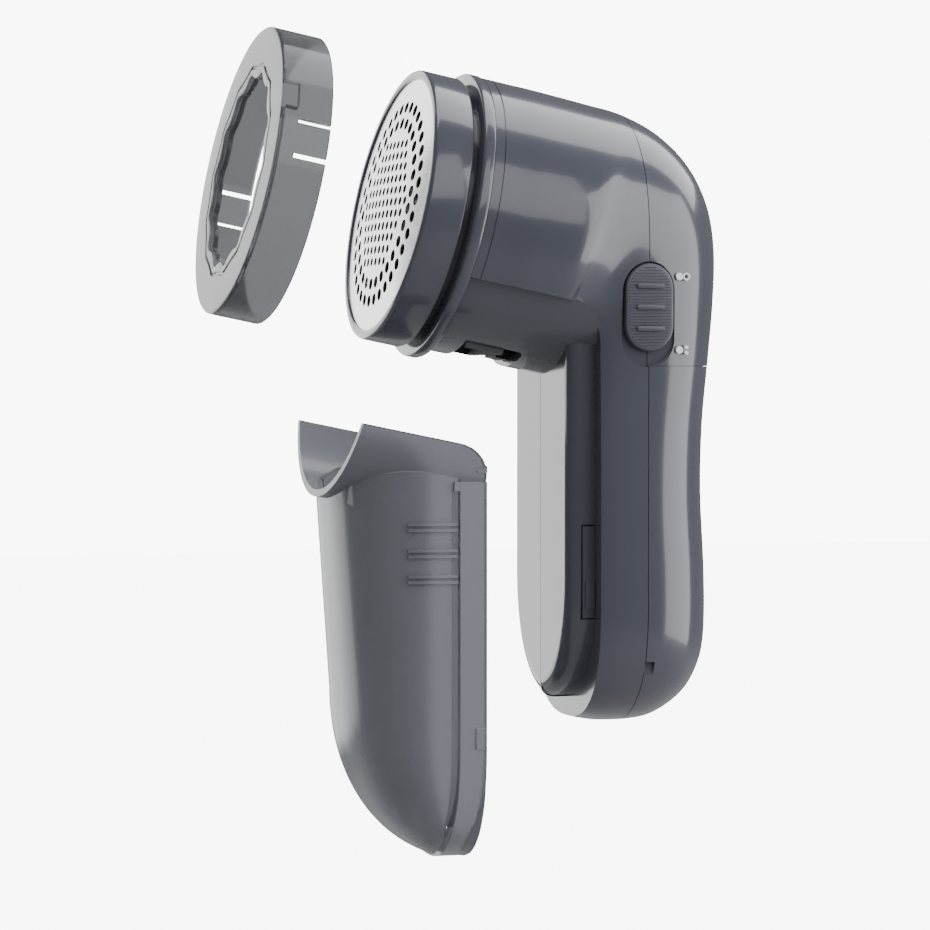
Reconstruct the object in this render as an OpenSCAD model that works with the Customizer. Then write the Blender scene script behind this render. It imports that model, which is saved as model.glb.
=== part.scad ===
// Battery fabric shaver in its opened layout: the height guard stands in front of the head and the
// lint container hangs off the handle. Millimetres, +Z up the handle, the foil faces -Y, the switch is on +X.
// The origin is the centre of the foil ring's front face. Head parts are drawn in the head's own
// frame, where +z runs back along the head axis, +y runs down and +x stays +X.

/* [Head] */
// Angle that the foil looks up by
head_tilt = 11.5; // [8:0.5:14]
// Outer radius of the foil ring
ring_r = 30; // [29.5:0.1:30.2]
// Length of the foil ring along the head axis
ring_len = 8.8; // [8:0.1:9.5]
// Radius of the perforated foil
foil_r = 27.95; // [27.5:0.05:28]
// Outer radius of the head tube
tube_r = 31.4; // [31:0.1:32]
// Outer radius of the seat under the tube that the container hooks round
seat_r = 29.3; // [29:0.1:29.5]
// Number of blades on the rotor
blade_count = 3; // [2:1:6]

/* [Handle] */
// Wall of the moulded shells
wall = 2.2; // [1.8:0.1:2.6]
// Y of the plane where the front and rear shells meet
seam_y = 51.5; // [50:0.5:53]
// Y of the face that the container's rim closes on
rim_y = 41; // [40:0.5:42]
// Y of the flat boss that plugs into the container
boss_y = 35; // [34:0.5:37]
// Z of the line between rear shell and battery cover
cover_z = -35.3; // [-37:0.1:-34]
// Half width of the handle
handle_w = 24.5; // [24:0.1:25]

/* [Loose parts] */
// How far the height guard stands off its seat
guard_off = 30.3; // [5:0.1:35]
// How far the container hangs forward of its seat
container_forward = 25.5; // [20:0.5:28]
// How far the container hangs below its seat
container_down = 30; // [25:0.5:36]
// Wall of the container
container_wall = 1.5; // [1.2:0.1:1.8]

/* [Power] */
// Radius of an AA cell
cell_r = 7.25; // [7:0.05:7.25]
// Distance of each cell's axis from the middle plane
cell_x = 7.6; // [7.4:0.1:7.9]
// Y of the cells' axes
cell_y = 56.5; // [56:0.1:57]

/* [Hidden] */
$fn = 64;

head_axis = [0, cos(head_tilt), -sin(head_tilt)];
head_up = [0, sin(head_tilt), cos(head_tilt)];
far = 400;
eps = 0.02;

// Head stations, measured back from the ring's front face
neck_r = 27;
collar_r = 31.6;
collar_s = 10.5;
tube_s = 13.2;
foil_s = 0.5;
bore_r = 26.9;
seat_drop = 14.2;
container_s = 15.4;

// The handle narrows to a round end below this height
round_z = -88;
round_len = 26;
bottom_z = -113.9;

// ---------------------------------------------------------------- shared helpers

module in_head() { rotate([-(90 + head_tilt), 0, 0]) children(); }

module at_s(s) { in_head() translate([0, 0, s]) children(); }

module ring(r_in, r_out, s0, s1) {
    rotate_extrude() translate([r_in, s0]) square([r_out - r_in, s1 - s0]);
}

// Extrudes a profile drawn in (y, z) right across X
module across(width) {
    rotate([90, 0, 90]) translate([0, 0, -width / 2]) linear_extrude(width) children();
}

function unit(v) = v / norm(v);
function tangent(p, i) = unit(p[min(i + 1, len(p) - 1)] - p[max(i - 1, 0)]);

// A closed skin through rings that all have the same number of points
module loft(rings) {
    n = len(rings);
    m = len(rings[0]);
    walls = [for (i = [0:n - 2], j = [0:m - 1]) let(k = (j + 1) % m, a = i * m, b = a + m)
        each [[a + j, b + j, b + k], [a + j, b + k, a + k]]];
    first = [for (j = [0:m - 1]) j];
    last = [for (j = [m - 1:-1:0]) (n - 1) * m + j];
    polyhedron([for (r = rings) each r], concat([first, last], walls));
}

// A round wire through the points of a path, never parallel to the reference direction
module wire(path, r, ref, sides = 8) {
    n = len(path);
    loft([for (i = [0:n - 1]) let(t = tangent(path, i), u = unit(cross(ref, t)), v = cross(t, u))
        [for (j = [0:sides - 1]) path[i] + r * (cos(j * 360 / sides) * u + sin(j * 360 / sides) * v)]]);
}

// A coil spring standing on z = 0 with closed ends
module coil(r, wire_r, length, turns, steps = 14) {
    count = turns * steps;
    path = [for (i = [0:count]) [r * cos(i * 360 / steps), r * sin(i * 360 / steps),
        wire_r + (length - 2 * wire_r) * i / count]];
    wire(path, wire_r, [0, 0, 1], 6);
}

module stadium(width, height) {
    run = (height - width) / 2;
    translate([0, run]) circle(width / 2);
    translate([0, -run]) circle(width / 2);
    square([width, 2 * run], center = true);
}

// ---------------------------------------------------------------- body form

// Half width of the handle at a height, closing to a round end
function half_w(z) = z > round_z ? handle_w
    : handle_w * pow(max(0, 1 - pow((round_z - z) / round_len, 2.3)), 1 / 2.3);

// A station of the body form: front point, back point, half width, squareness of the section
function tube_station(s) = [s * head_axis - tube_r * head_up, s * head_axis + tube_r * head_up, tube_r, 2];
function yz_station(y0, z0, y1, z1, w, power) = [[0, y0, z0], [0, y1, z1], w, power];
function level(y0, y1, z) = yz_station(y0, z, y1, z, half_w(z), 2.5);

STATIONS = [
    tube_station(26),
    yz_station(26.5, -37.6, 44.5, 22.7, 30.4, 2.0),
    yz_station(27.5, -37.8, 52.5, 20.7, 28.2, 2.0),
    yz_station(28.3, -38.2, 60.8, 16.5, 26.3, 2.05),
    yz_station(28.5, -39, 67.8, 9.8, 25.3, 2.1),
    yz_station(28.5, -40.5, 72, 1.2, 24.8, 2.2),
    yz_station(28.5, -43, 73.4, -8.5, 24.6, 2.3),
    yz_station(28.5, -47, 72.9, -20, handle_w, 2.4),
    yz_station(28.5, -53, 71.5, -33, handle_w, 2.5),
    yz_station(28.5, -62, 70.1, -47, handle_w, 2.5),
    yz_station(28.5, -74, 69.7, -62, handle_w, 2.5),
    yz_station(28.5, -83, 70.5, -78, handle_w, 2.5),
    level(28.5, 70.7, -90),
    level(28.7, 70.2, -98),
    level(29.5, 68.5, -103.6),
    level(31, 66.2, -107.5),
    level(35, 62.6, -110.8),
    level(41, 59, -112.9),
    level(46, 55.5, bottom_z)
];

// Superellipse section of one station, moved in from its outline by an inset
function section(st, inset, sides) = let(middle = (st[0] + st[1]) / 2, arm = st[1] - st[0],
    a = norm(arm) / 2 - inset, b = max(st[2] - inset, 0.5), n = 2 / st[3])
    [for (i = [0:sides - 1]) let(t = i * 360 / sides, c = cos(t), s = sin(t))
        middle + a * sign(c) * pow(abs(c), n) * unit(arm) + [b * sign(s) * pow(abs(s), n), 0, 0]];

// The closed form that both shells, the cover and the container share. An inset one starts ahead of
// the outer one and stops above its floor, so that it cuts an open mouth and leaves a bottom.
module body_form(inset = 0, sides = 40) {
    all = concat([tube_station(inset > 0 ? tube_s - 2 : tube_s)], STATIONS);
    last = len(all) - (inset > 0 ? 3 : 1);
    loft([for (i = [0:last]) section(all[i], inset, sides)]);
}

// The moulded shells are cut as meshes, with every size kept
module moulded() {
    resize([0, 0, 0]) children();
}

// Corner where the underside of the seat line meets the rim plane
seat_corner_z = -(seat_drop + rim_y * sin(head_tilt)) / cos(head_tilt);
corner_round = 9;

// Profile, in (y, z), of the space in front of the handle that the container fills
module container_zone(gap = 0) {
    reach = 60;
    offset(r = corner_round) offset(delta = -corner_round - gap)
        polygon([[rim_y, -150], [rim_y, seat_corner_z],
            [rim_y - reach, seat_corner_z + reach * tan(head_tilt)], [rim_y - reach, -150]]);
}

// The space behind the collar and below the seat line, as a solid
module seat_space(gap = 0, from_s = tube_s) {
    intersection() {
        across(far) container_zone(gap);
        at_s(from_s) translate([-far / 2, -far / 2, 0]) cube([far, far, far]);
    }
}

// Outline, in (x, z), of the handle's front, trimmed all round
module front_outline(trim, top_z) {
    steps = 22;
    low = bottom_z + trim;
    right = [for (i = [0:steps]) let(z = top_z + (low - top_z) * i / steps, w = half_w(z - trim))
        [max(w - trim, 0.4), z]];
    left = [for (i = [steps:-1:0]) [-right[i][0], right[i][1]]];
    polygon(concat(right, left));
}

// A slab of the front outline between two Y planes
module front_slab(y0, y1, trim, top_z) {
    translate([0, y1, 0]) rotate([90, 0, 0]) linear_extrude(y1 - y0) front_outline(trim, top_z);
}

// ---------------------------------------------------------------- head

module foil_ring() color([0.35, 0.37, 0.41]) in_head() difference() {
    rotate_extrude() polygon([[neck_r + 0.08, 0.95], [foil_r + 0.05, 0.95], [foil_r + 0.05, 0],
        [ring_r - 0.6, 0], [ring_r, 0.6], [ring_r, ring_len], [neck_r + 0.08, ring_len]]);
    ring(neck_r - 1, 28.6, 4, 7);
    for (i = [0:2]) rotate([0, 0, i * 120 + 25]) rotate_extrude(angle = 22)
        translate([neck_r - 1, 6]) square([2.4, ring_len]);
}

foil_hole_r = 1.3;
fine_hole_r = 0.95;

module foil_holes() {
    for (row = [0:1], i = [0:35 - 6 * row]) rotate((i + row / 2) * 360 / (36 - 6 * row))
        translate([21.6 - 3.7 * row, 0]) circle(foil_hole_r, $fn = 24);
    pitch = 3;
    for (i = [-8:8], j = [-8:8]) {
        x = pitch * (i + j / 2);
        y = pitch * j * sin(60);
        if (norm([x, y]) < 15.1) translate([x, y]) circle(fine_hole_r, $fn = 24);
    }
}

module shaving_foil() color([0.86, 0.87, 0.88]) in_head() {
    translate([0, 0, foil_s]) linear_extrude(0.4) difference() {
        circle(foil_r);
        foil_holes();
    }
}

blade_s = 1.25;

module rotor_blades() color([0.75, 0.76, 0.78]) in_head() {
    for (i = [0:blade_count - 1]) rotate([0, 0, i * 360 / blade_count])
        translate([6.5, -0.3, blade_s]) cube([17.8, 0.6, 2.7]);
}

module blade_hub() color([0.15, 0.15, 0.16]) in_head() difference() {
    union() {
        translate([0, 0, 3]) cylinder(3.5, r = 8);
        for (i = [0:blade_count - 1]) rotate([0, 0, i * 360 / blade_count])
            translate([5, -1.6, 3]) cube([17, 3.2, 1.6]);
    }
    translate([-2.15, -2.15, 3.9]) cube([4.3, 4.3, 6]);
    for (i = [0:blade_count - 1]) rotate([0, 0, i * 360 / blade_count])
        translate([6.4, -0.35, 2]) cube([18, 0.7, 2]);
}

module drive_dog() color([0.85, 0.85, 0.82]) in_head() difference() {
    union() {
        translate([-2, -2, 5.2]) cube([4, 4, 5.5]);
        translate([0, 0, 10]) cylinder(1, r = 5.5);
        translate([0, 0, 10.5]) cylinder(3.5, r = 3);
    }
    translate([0, 0, 7]) cylinder(10, r = 1.02);
}

module blade_spring() color("silver") at_s(6.7) coil(3.7, 0.28, 3.2, 3);

module motor_shaft() color("silver") at_s(8) cylinder(14.5, r = 1);

motor_s = 22;
motor_len = 25;
motor_r = 12;

module motor_can() color([0.7, 0.71, 0.72]) in_head() difference() {
    union() {
        translate([0, 0, motor_s]) cylinder(motor_len, r = motor_r);
        translate([0, 0, motor_s - 1.5]) cylinder(2, r = 3.1);
    }
    translate([0, 0, motor_s - 3]) cylinder(6, r = 1.06);
    for (x = [-8, 8]) translate([x, 0, motor_s - 1]) cylinder(2.6, r = 1.05);
}

module motor_endcap() color([0.92, 0.92, 0.9]) in_head() {
    translate([0, 0, motor_s + motor_len]) cylinder(2.2, r = motor_r - 0.4);
    translate([0, 0, motor_s + motor_len + 2]) cylinder(1.6, r = 3);
}

module motor_terminals() color([0.8, 0.62, 0.25]) in_head() {
    for (x = [-7, 7]) translate([x - 1.2, -0.2, motor_s + motor_len + 2.2]) cube([2.4, 0.4, 4]);
}

bracket_s = 19;

module motor_bracket() color([0.2, 0.2, 0.22]) in_head() difference() {
    translate([0, 0, bracket_s]) cylinder(1.8, r = 25.8);
    translate([0, 0, bracket_s - 1]) cylinder(4, r = 3.4);
    for (x = [-8, 8]) translate([x, 0, bracket_s - 1]) cylinder(4, r = 1.25);
    translate([-14, 12, bracket_s - 1]) cube([28, 20, 4]);
}

module motor_screws() color("silver") in_head() {
    for (x = [-8, 8]) translate([x, 0, 0]) {
        translate([0, 0, bracket_s - 1.2]) cylinder(1.1, r = 1.9);
        translate([0, 0, bracket_s - 0.5]) cylinder(4.4, r = 1);
    }
}

chamber_s = 14.6;

// Cup behind the blades, open at the bottom so that the lint drops into the duct
module blade_chamber() color([0.25, 0.26, 0.29]) in_head() difference() {
    union() {
        ring(24.8, 25.45, 7, chamber_s + 1);
        translate([0, 0, chamber_s]) cylinder(1.4, r = 25.45);
    }
    translate([0, 0, chamber_s - 1]) cylinder(4, r = 3.5);
    translate([-11, 13, 9]) cube([22, 20, 10]);
}

outlet_half = 12.5;
outlet_s = 19.5;
outlet_len = 13.5;

// Open funnel from the chamber down to the outlet in the seat
module lint_duct() color([0.16, 0.16, 0.18]) in_head() difference() {
    translate([-outlet_half + 0.6, 13.2, outlet_s + 0.3]) cube([2 * outlet_half - 1.2, 14.6, 8.6]);
    translate([-outlet_half + 1.8, 12, outlet_s - 1]) cube([2 * outlet_half - 3.6, 20, 8.7]);
}

// Fixed neck that the foil ring turns on, with its collar band, lugs and spigot
module head_collar() color([0.35, 0.37, 0.41]) in_head() {
    rotate_extrude() polygon([[25.6, 3.2], [neck_r - 0.4, 3.2], [neck_r, 3.6], [neck_r, collar_s],
        [collar_r - 0.5, collar_s], [collar_r, collar_s + 0.5], [collar_r, tube_s - 0.3],
        [collar_r - 0.3, tube_s], [bore_r - 0.3, tube_s], [bore_r - 0.3, 18], [25.6, 18]]);
    for (i = [0:2]) rotate([0, 0, i * 120 + 2]) rotate_extrude(angle = 18)
        translate([neck_r - 0.3, 4.8]) square([1.5, 1.6]);
}

// ---------------------------------------------------------------- shells

// Everything hollow inside the two shells
module shell_hollow() {
    difference() {
        body_form(wall);
        seat_space(-wall, tube_s - 3);
    }
    at_s(tube_s - 2) cylinder(31, r = bore_r, $fn = 72);
    front_slab(boss_y + wall, rim_y + wall + 1, boss_trim + 3.6, -46);
}

// How far the boss stands in from the handle's outline
boss_trim = 5.2;

// Flat plug with rounded edges that the container closes over
module boss() {
    hull() {
        front_slab(boss_y, boss_y + 1, boss_trim + 1.6, -30);
        front_slab(boss_y + 2.5, rim_y + 0.5, boss_trim, -30);
    }
}

module switch_recess() {
    translate([handle_w - 1.1, seam_y, switch_z - 1.5]) rotate([0, 90, 0]) rotate([0, 0, 90])
        linear_extrude(6) stadium(12, 22.6);
    translate([handle_w - 6, seam_y, switch_z - 1.5]) cube([12, 6.4, 13], center = true);
}

switch_z = -22.6;
switch_travel = 3;

module seam_half(front) {
    translate([-far / 2, front ? seam_y - far - 0.05 : seam_y + 0.05, -far / 2]) cube([far, far, far]);
}

screw_x = 17;
screw_z = -40.6;

// Posts that the housing screws bite into
module screw_posts() {
    for (x = [-screw_x, screw_x]) translate([x, 0, screw_z]) rotate([-90, 0, 0]) difference() {
        translate([0, 0, rim_y + 1]) cylinder(seam_y - rim_y - 1.2, r = 3);
        translate([0, 0, rim_y + 3]) cylinder(20, r = 1.22);
    }
}

module front_shell() color([0.36, 0.38, 0.43]) moulded() {
    front_casing();
    screw_posts();
}

module front_casing() difference() {
    union() {
        intersection() {
            difference() {
                body_form();
                seat_space(0, tube_s - 1);
            }
            seam_half(true);
        }
        intersection() {
            at_s(tube_s + 0.2) cylinder(40, r = seat_r, $fn = 72);
            seat_space(-0.5, tube_s - 1);
        }
        difference() {
            boss();
            at_s(0) cylinder(60, r = seat_r - 1, $fn = 72);
        }
    }
    shell_hollow();
    switch_recess();
    in_head() translate([-outlet_half, 10, outlet_s]) cube([2 * outlet_half, 30, outlet_len]);
    for (x = [-latch_x, latch_x]) translate([x, boss_y + 5, -80]) cube([3.4, 4.4, 22], center = true);
}

latch_x = 18.4;

// Ears that reach down behind the battery cover and take the housing screws
module screw_ears() {
    for (side = [-1, 1]) difference() {
        union() {
            translate([side * 18.6 - 4.6, seam_y + 0.2, cover_z + 0.1]) cube([9.2, 1.5, 3]);
            translate([side * 17.8 - 3.6, seam_y + 0.2, screw_z - 3]) cube([7.2, 1.5, 7.6]);
        }
        translate([side * screw_x, 0, screw_z]) rotate([-90, 0, 0]) cylinder(60, r = 1.35);
    }
}

module rear_shell() color([0.36, 0.38, 0.43]) moulded() {
    rear_casing();
    screw_ears();
}

module rear_casing() difference() {
    intersection() {
        body_form();
        seam_half(false);
        translate([-far / 2, 0, cover_z + 0.1]) cube(far);
    }
    shell_hollow();
    switch_recess();
}

module battery_cover() color([0.36, 0.38, 0.43]) moulded() difference() {
    intersection() {
        body_form();
        seam_half(false);
        translate([-far / 2, 0, cover_z - 0.1 - far]) cube(far);
    }
    shell_hollow();
    translate([handle_w - 2.5, seam_y + 1, -101]) cube([6, 2.4, 3], center = true);
}

// ---------------------------------------------------------------- switch

knob_x = handle_w - 0.7;

module switch_knob() color([0.33, 0.35, 0.4]) translate([0, seam_y, switch_z]) rotate([0, 90, 0])
    rotate([0, 0, 90]) translate([0, 0, knob_x]) {
        linear_extrude(1.9) stadium(11, 19);
        for (i = [-1:1]) translate([-3, i * 4.6 - 0.5, 1.7]) cube([6, 1, 0.6]);
    }

module switch_carriage() color([0.9, 0.9, 0.88]) translate([0, seam_y, switch_z]) {
    translate([16.8, -2.4, -4]) cube([knob_x - 16.8, 4.8, 8]);
    translate([16.8, -4, -5]) cube([1.6, 8, 10]);
}

module slide_switch() color([0.12, 0.12, 0.13]) {
    translate([11, seam_y - 3.2, switch_z - 9.5]) cube([5.2, 6.4, 15]);
    for (i = [-1:1]) translate([8.6, seam_y - 0.3, switch_z - 2 + i * 4.2]) cube([2.6, 0.6, 1.4]);
}

icon_y = seam_y + 7.2;

module icon_marks() color("white") {
    for (z = [-15.9, -31.8]) translate([handle_w - 2.6, icon_y, z]) rotate([0, 90, 0])
        cylinder(2.4, r = 0.8, $fn = 24);
    translate([handle_w - 2.8, icon_y + 1.7, -15.9]) rotate([0, 90, 0]) ring(0.5, 0.8, 0, 2.4);
    for (z = [-0.6, 0.6]) translate([handle_w - 2.8, icon_y + 1.7, -31.8 + z]) rotate([0, 90, 0])
        cylinder(2.4, r = 0.4, $fn = 24);
}

// ---------------------------------------------------------------- power

cell_low = -97;
cell_len = 49.2;
plate_low = cell_low - 1.6;
plate_high = cell_low + 52.1;

module battery_tray() color([0.2, 0.2, 0.22]) difference() {
    translate([-16.4, 45.6, plate_low - 1.2]) cube([32.8, 8.4, plate_high - plate_low + 2.4]);
    for (x = [-cell_x, cell_x]) translate([x, cell_y, plate_low - 0.4])
        cylinder(plate_high - plate_low + 0.8, r = cell_r + 0.25);
    translate([-14, 49, plate_low - 0.4]) cube([28, 9, plate_high - plate_low + 0.8]);
    for (x = [-8.2, 8.1]) translate([x - 1.2, 47.9, plate_high - 0.2]) cube([2.4, 9, 3]);
}

module cell(flip) translate([flip * cell_x, cell_y, cell_low + (flip > 0 ? 1.25 : -1.1)])
    translate([0, 0, flip > 0 ? 0 : 1.2]) {
        cylinder(cell_len, r = cell_r);
        translate([0, 0, flip > 0 ? cell_len : -1.2]) cylinder(1.2, r = 2.75);
    }

module battery_1() color([0.75, 0.6, 0.2]) cell(1);
module battery_2() color([0.75, 0.6, 0.2]) cell(-1);

module contact_bridge() color("silver")
    translate([-12.5, 51.5, plate_low]) cube([25, 10, 0.4]);

module contact_tabs() color("silver") {
    for (x = [-cell_x, cell_x]) translate([x - 4.5, 51.5, plate_high - 0.4]) cube([9, 10, 0.4]);
}

module contact_springs() color("silver") {
    translate([cell_x, cell_y, plate_low + 0.42]) coil(3.4, 0.3, 2.35, 2);
    translate([-cell_x, cell_y, cell_low + cell_len + 0.15]) coil(3.4, 0.3, 2.3, 2);
}

lead_r = 0.65;

module lead_positive() color("red") wire([[8, 50.8, -44.2], [8, 49, -43], [9.5, 48.6, -38],
    [9.4, 48.4, -33], [8, 48.8, -30], [7.6, 50, -28.6]], lead_r, [1, 0, 0.2]);

module lead_motor() color("red") wire([[7.6, 51, -23.6], [6, 52.6, -22], [5.6, 55, -19],
    [6, 56, -15], [7, 54, -11.5]], lead_r, [1, 0, 0.2]);

module lead_negative() color([0.08, 0.08, 0.09]) wire([[-8, 50.8, -44.2], [-8.4, 49, -42], [-9, 48.8, -36],
    [-8.6, 52, -28], [-8, 56, -20], [-7.4, 56, -14], [-7, 54, -11.5]], lead_r, [1, 0, 0.2]);

// ---------------------------------------------------------------- interlock and latches

lever_s = 31;

module interlock_lever() color([0.3, 0.31, 0.34]) in_head() {
    translate([-4, 19.5, lever_s]) cube([8, 8.6, 1.4]);
    translate([-4, 26.7, lever_s - 1.6]) cube([8, 1.4, 2.4]);
    translate([-2, 17.2, lever_s - 0.1]) cube([4, 2.6, 1.6]);
}

module interlock_spring() color("silver") in_head()
    translate([3.2, 19.4, lever_s + 0.7]) rotate([90, 0, 0]) coil(0.9, 0.2, 6.2, 5, 10);

module micro_switch() color([0.1, 0.1, 0.11]) in_head() {
    translate([-5, 14.2, 36]) cube([10, 5, 5.6]);
    translate([-3.2, 14.6, 33.2]) cube([6.4, 0.4, 3]);
}

module housing_screws() color("silver") {
    for (x = [-screw_x, screw_x]) translate([x, 0, screw_z]) rotate([-90, 0, 0]) {
        translate([0, 0, rim_y + 4.5]) cylinder(9, r = 1.1);
        translate([0, 0, seam_y + 1.8]) cylinder(1.6, r = 2.2);
    }
}

module latch_tabs() color([0.36, 0.38, 0.43]) {
    for (side = [-1, 1]) translate([side * latch_x, 0, 0]) {
        translate([-0.9, boss_y + 3.2, -90]) cube([1.8, 3.2, 20]);
        translate([side > 0 ? 0.5 : -1.3, boss_y + 3.8, -88]) cube([0.8, 2, 6]);
    }
}

// ---------------------------------------------------------------- loose parts

guard_s = -4.2;
guard_len = 11.2;
guard_bore = ring_r + 0.35;

module guard_outline() {
    difference() {
        circle(collar_r);
        circle(20.4);
        for (i = [0:13]) rotate((i + 0.5) * 360 / 14) translate([19.6, 0]) circle(2.6);
    }
}

module height_guard() color([0.45, 0.46, 0.49, 0.7]) at_s(guard_s - guard_off) difference() {
    union() {
        linear_extrude(1.2) guard_outline();
        ring(guard_bore, collar_r, 0, guard_len);
        for (i = [0:2]) rotate([0, 0, i * 120 + 90]) translate([28.6, -3, 0.6])
            cube([2.6, 6, -guard_s - 0.7]);
        ring(22.6, 23.6, 0.8, 2.2);
    }
    for (side = [0, 180], a = [-4.2, -18]) rotate([0, 0, side + a]) translate([28, -0.5, guard_len - 7])
        cube([6, 1, 8]);
}

rim_trim = 4.2;

function pod_front(z) = z > -76 ? 10.8 - (z + 33) * 0.072 : 13.9 + 27 * (1 - sqrt(max(0, 1 - pow((z + 76) / 37.4, 2))));
pod_back = 34;
pod_step = 3.4;

// Rounded front part of the container, drawn as level slices
module pod(inset) {
    levels = [-22, -33, -48, -62, -76, -84, -91, -97, -102, -106, -109, -111.4, -112.6];
    for (i = [0:len(levels) - 2]) hull() for (z = [levels[i], levels[i + 1]])
        translate([0, 0, z + inset * 0.6]) pod_slice(z, inset);
}

module pod_slice(z, inset, sides = 24) {
    depth = pod_back - pod_front(z);
    back = pod_back + (inset > 0 ? 2.6 : 1.2);
    w = max(half_w(z - 1) * 0.96 - pod_step - inset, 0.6);
    d = max(depth - inset, 0.6);
    front = [for (i = [0:sides]) let(t = 180 * i / sides, c = cos(t), s = sin(t))
        [w * sign(c) * pow(abs(c), 0.62), pod_back - d * pow(s, 0.62)]];
    linear_extrude(eps) polygon(concat(front, [[-w, back], [w, back]]));
}

module lint_container() color([0.45, 0.46, 0.49, 0.8])
    translate([0, -container_forward, -container_down]) difference() {
        union() {
            intersection() {
                body_form();
                seat_space(0.3, container_s);
                translate([-far / 2, pod_back - 0.6, -far / 2]) cube(far);
            }
            intersection() {
                at_s(container_s) cylinder(40, r = tube_r - 0.2, $fn = 72);
                seat_space(0.3, container_s);
                at_s(0) translate([-far / 2, -4, 0]) cube(far);
            }
            pod(0);
        }
        at_s(0) cylinder(80, r = seat_r + 0.35, $fn = 72);
        at_s(0) translate([-far / 2, -far + seat_drop, -1]) cube([far, far, far]);
        pod(container_wall);
        front_slab(pod_back + 2.3, rim_y + 2, rim_trim, -20);
    }

// ---------------------------------------------------------------- assembly

foil_ring();
shaving_foil();
rotor_blades();
blade_hub();
blade_spring();
drive_dog();
motor_shaft();
motor_can();
motor_endcap();
motor_terminals();
motor_bracket();
motor_screws();
blade_chamber();
lint_duct();
head_collar();
front_shell();
rear_shell();
battery_cover();
switch_knob();
switch_carriage();
slide_switch();
icon_marks();
battery_tray();
battery_1();
battery_2();
contact_bridge();
contact_tabs();
contact_springs();
lead_positive();
lead_motor();
lead_negative();
interlock_lever();
interlock_spring();
micro_switch();
housing_screws();
latch_tabs();
height_guard();
lint_container();
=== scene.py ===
# %% [markdown]
# # A fabric shaver, opened up
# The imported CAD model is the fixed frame: it says where every piece sits and how it moves. This
# script dresses it. The moulded shells, the rings and the clear parts are modelled again with
# finer surfaces, and the small inner parts keep their CAD shapes and get real finishes.

# %% Load the frame
from math import atan2, cos, pi, radians, sin

import bmesh
import bpy
from mathutils import Matrix, Vector


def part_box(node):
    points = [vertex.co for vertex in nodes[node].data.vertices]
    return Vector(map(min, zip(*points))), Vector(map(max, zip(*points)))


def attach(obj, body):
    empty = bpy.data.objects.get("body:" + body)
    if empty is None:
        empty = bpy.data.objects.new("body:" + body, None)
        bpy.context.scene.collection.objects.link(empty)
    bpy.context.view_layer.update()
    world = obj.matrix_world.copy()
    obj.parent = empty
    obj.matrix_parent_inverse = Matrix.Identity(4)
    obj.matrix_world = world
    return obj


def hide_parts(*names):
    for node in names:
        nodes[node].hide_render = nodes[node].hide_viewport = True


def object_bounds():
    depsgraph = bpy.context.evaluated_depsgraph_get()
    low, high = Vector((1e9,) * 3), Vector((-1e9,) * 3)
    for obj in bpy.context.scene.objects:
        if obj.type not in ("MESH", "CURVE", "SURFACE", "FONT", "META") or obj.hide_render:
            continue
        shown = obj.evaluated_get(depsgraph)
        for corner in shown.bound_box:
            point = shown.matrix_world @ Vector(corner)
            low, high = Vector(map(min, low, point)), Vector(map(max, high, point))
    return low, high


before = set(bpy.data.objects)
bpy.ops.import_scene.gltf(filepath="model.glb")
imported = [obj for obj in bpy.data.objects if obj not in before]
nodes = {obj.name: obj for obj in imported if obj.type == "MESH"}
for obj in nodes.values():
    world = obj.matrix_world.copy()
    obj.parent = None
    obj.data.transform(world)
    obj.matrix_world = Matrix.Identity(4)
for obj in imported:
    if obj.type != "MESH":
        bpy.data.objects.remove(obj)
cad_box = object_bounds()
print("CAD nodes:", len(nodes))

# %% [markdown]
# Sizes are in millimetres, because that is how a moulding is dimensioned, and each mesh is turned
# into metres as its object is made. The head has a frame of its own: local Z runs back along the
# head axis, local Y runs down and X is shared with the body.

# %% The head's frame and the shared sizes
MM = 0.001
TILT = radians(11.5)
HEAD = Matrix.Rotation(-(pi / 2 + TILT), 4, "X")
AXIS = Vector((0, cos(TILT), -sin(TILT)))
UP = Vector((0, sin(TILT), cos(TILT)))
TUBE_R = 31.4
SEAT_R = 29.3
SEAM_Y = 51.5
RIM_Y = 41.0
COVER_Z = -35.3
HANDLE_W = 24.5
pod_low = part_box("lint_container")[0]
HUNG = Vector((0, -25.5, -30))
print("container hangs at", [round(v / MM, 1) for v in pod_low])

# %% [markdown]
# ## The camera
# A long lens far away keeps the verticals straight, as a catalogue view wants. The
# camera stands on the switch side, a little in front of the head, and is pitched down by a degree
# and a half.

# %% Camera
CAMERA_TURN = radians(72.8)
CAMERA_PITCH = radians(1.5)
CAMERA_FAR = 0.75
CAMERA_SHIFT = 0.0167
CAMERA_DROP = 0.0569
LENS = 133.0
level_reach = cos(CAMERA_PITCH)
back = Vector((sin(CAMERA_TURN) * level_reach, -cos(CAMERA_TURN) * level_reach, sin(CAMERA_PITCH)))
right = Vector((cos(CAMERA_TURN), sin(CAMERA_TURN), 0))
above = back.cross(right)
camera_data = bpy.data.cameras.new("camera")
camera_data.lens = LENS
camera_data.sensor_width = 36
camera = bpy.data.objects.new("camera", camera_data)
bpy.context.scene.collection.objects.link(camera)
place = back * CAMERA_FAR + right * CAMERA_SHIFT - above * CAMERA_DROP
turn = Matrix((right, above, back)).transposed()
camera.matrix_world = Matrix.Translation(place) @ turn.to_4x4()
bpy.context.scene.camera = camera
print("camera at", [round(v, 3) for v in place])

# %% [markdown]
# ## Helpers
# A finished piece needs the same few steps every time: scale to metres, weld, turn the faces
# outwards, shade smooth but keep real corners sharp, give it a finish and tie it to its body.


# %% Turning a bmesh into a finished piece
def weld(bm, gap=0.004):
    bmesh.ops.remove_doubles(bm, verts=bm.verts, dist=gap)
    bmesh.ops.recalc_face_normals(bm, faces=bm.faces)


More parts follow.
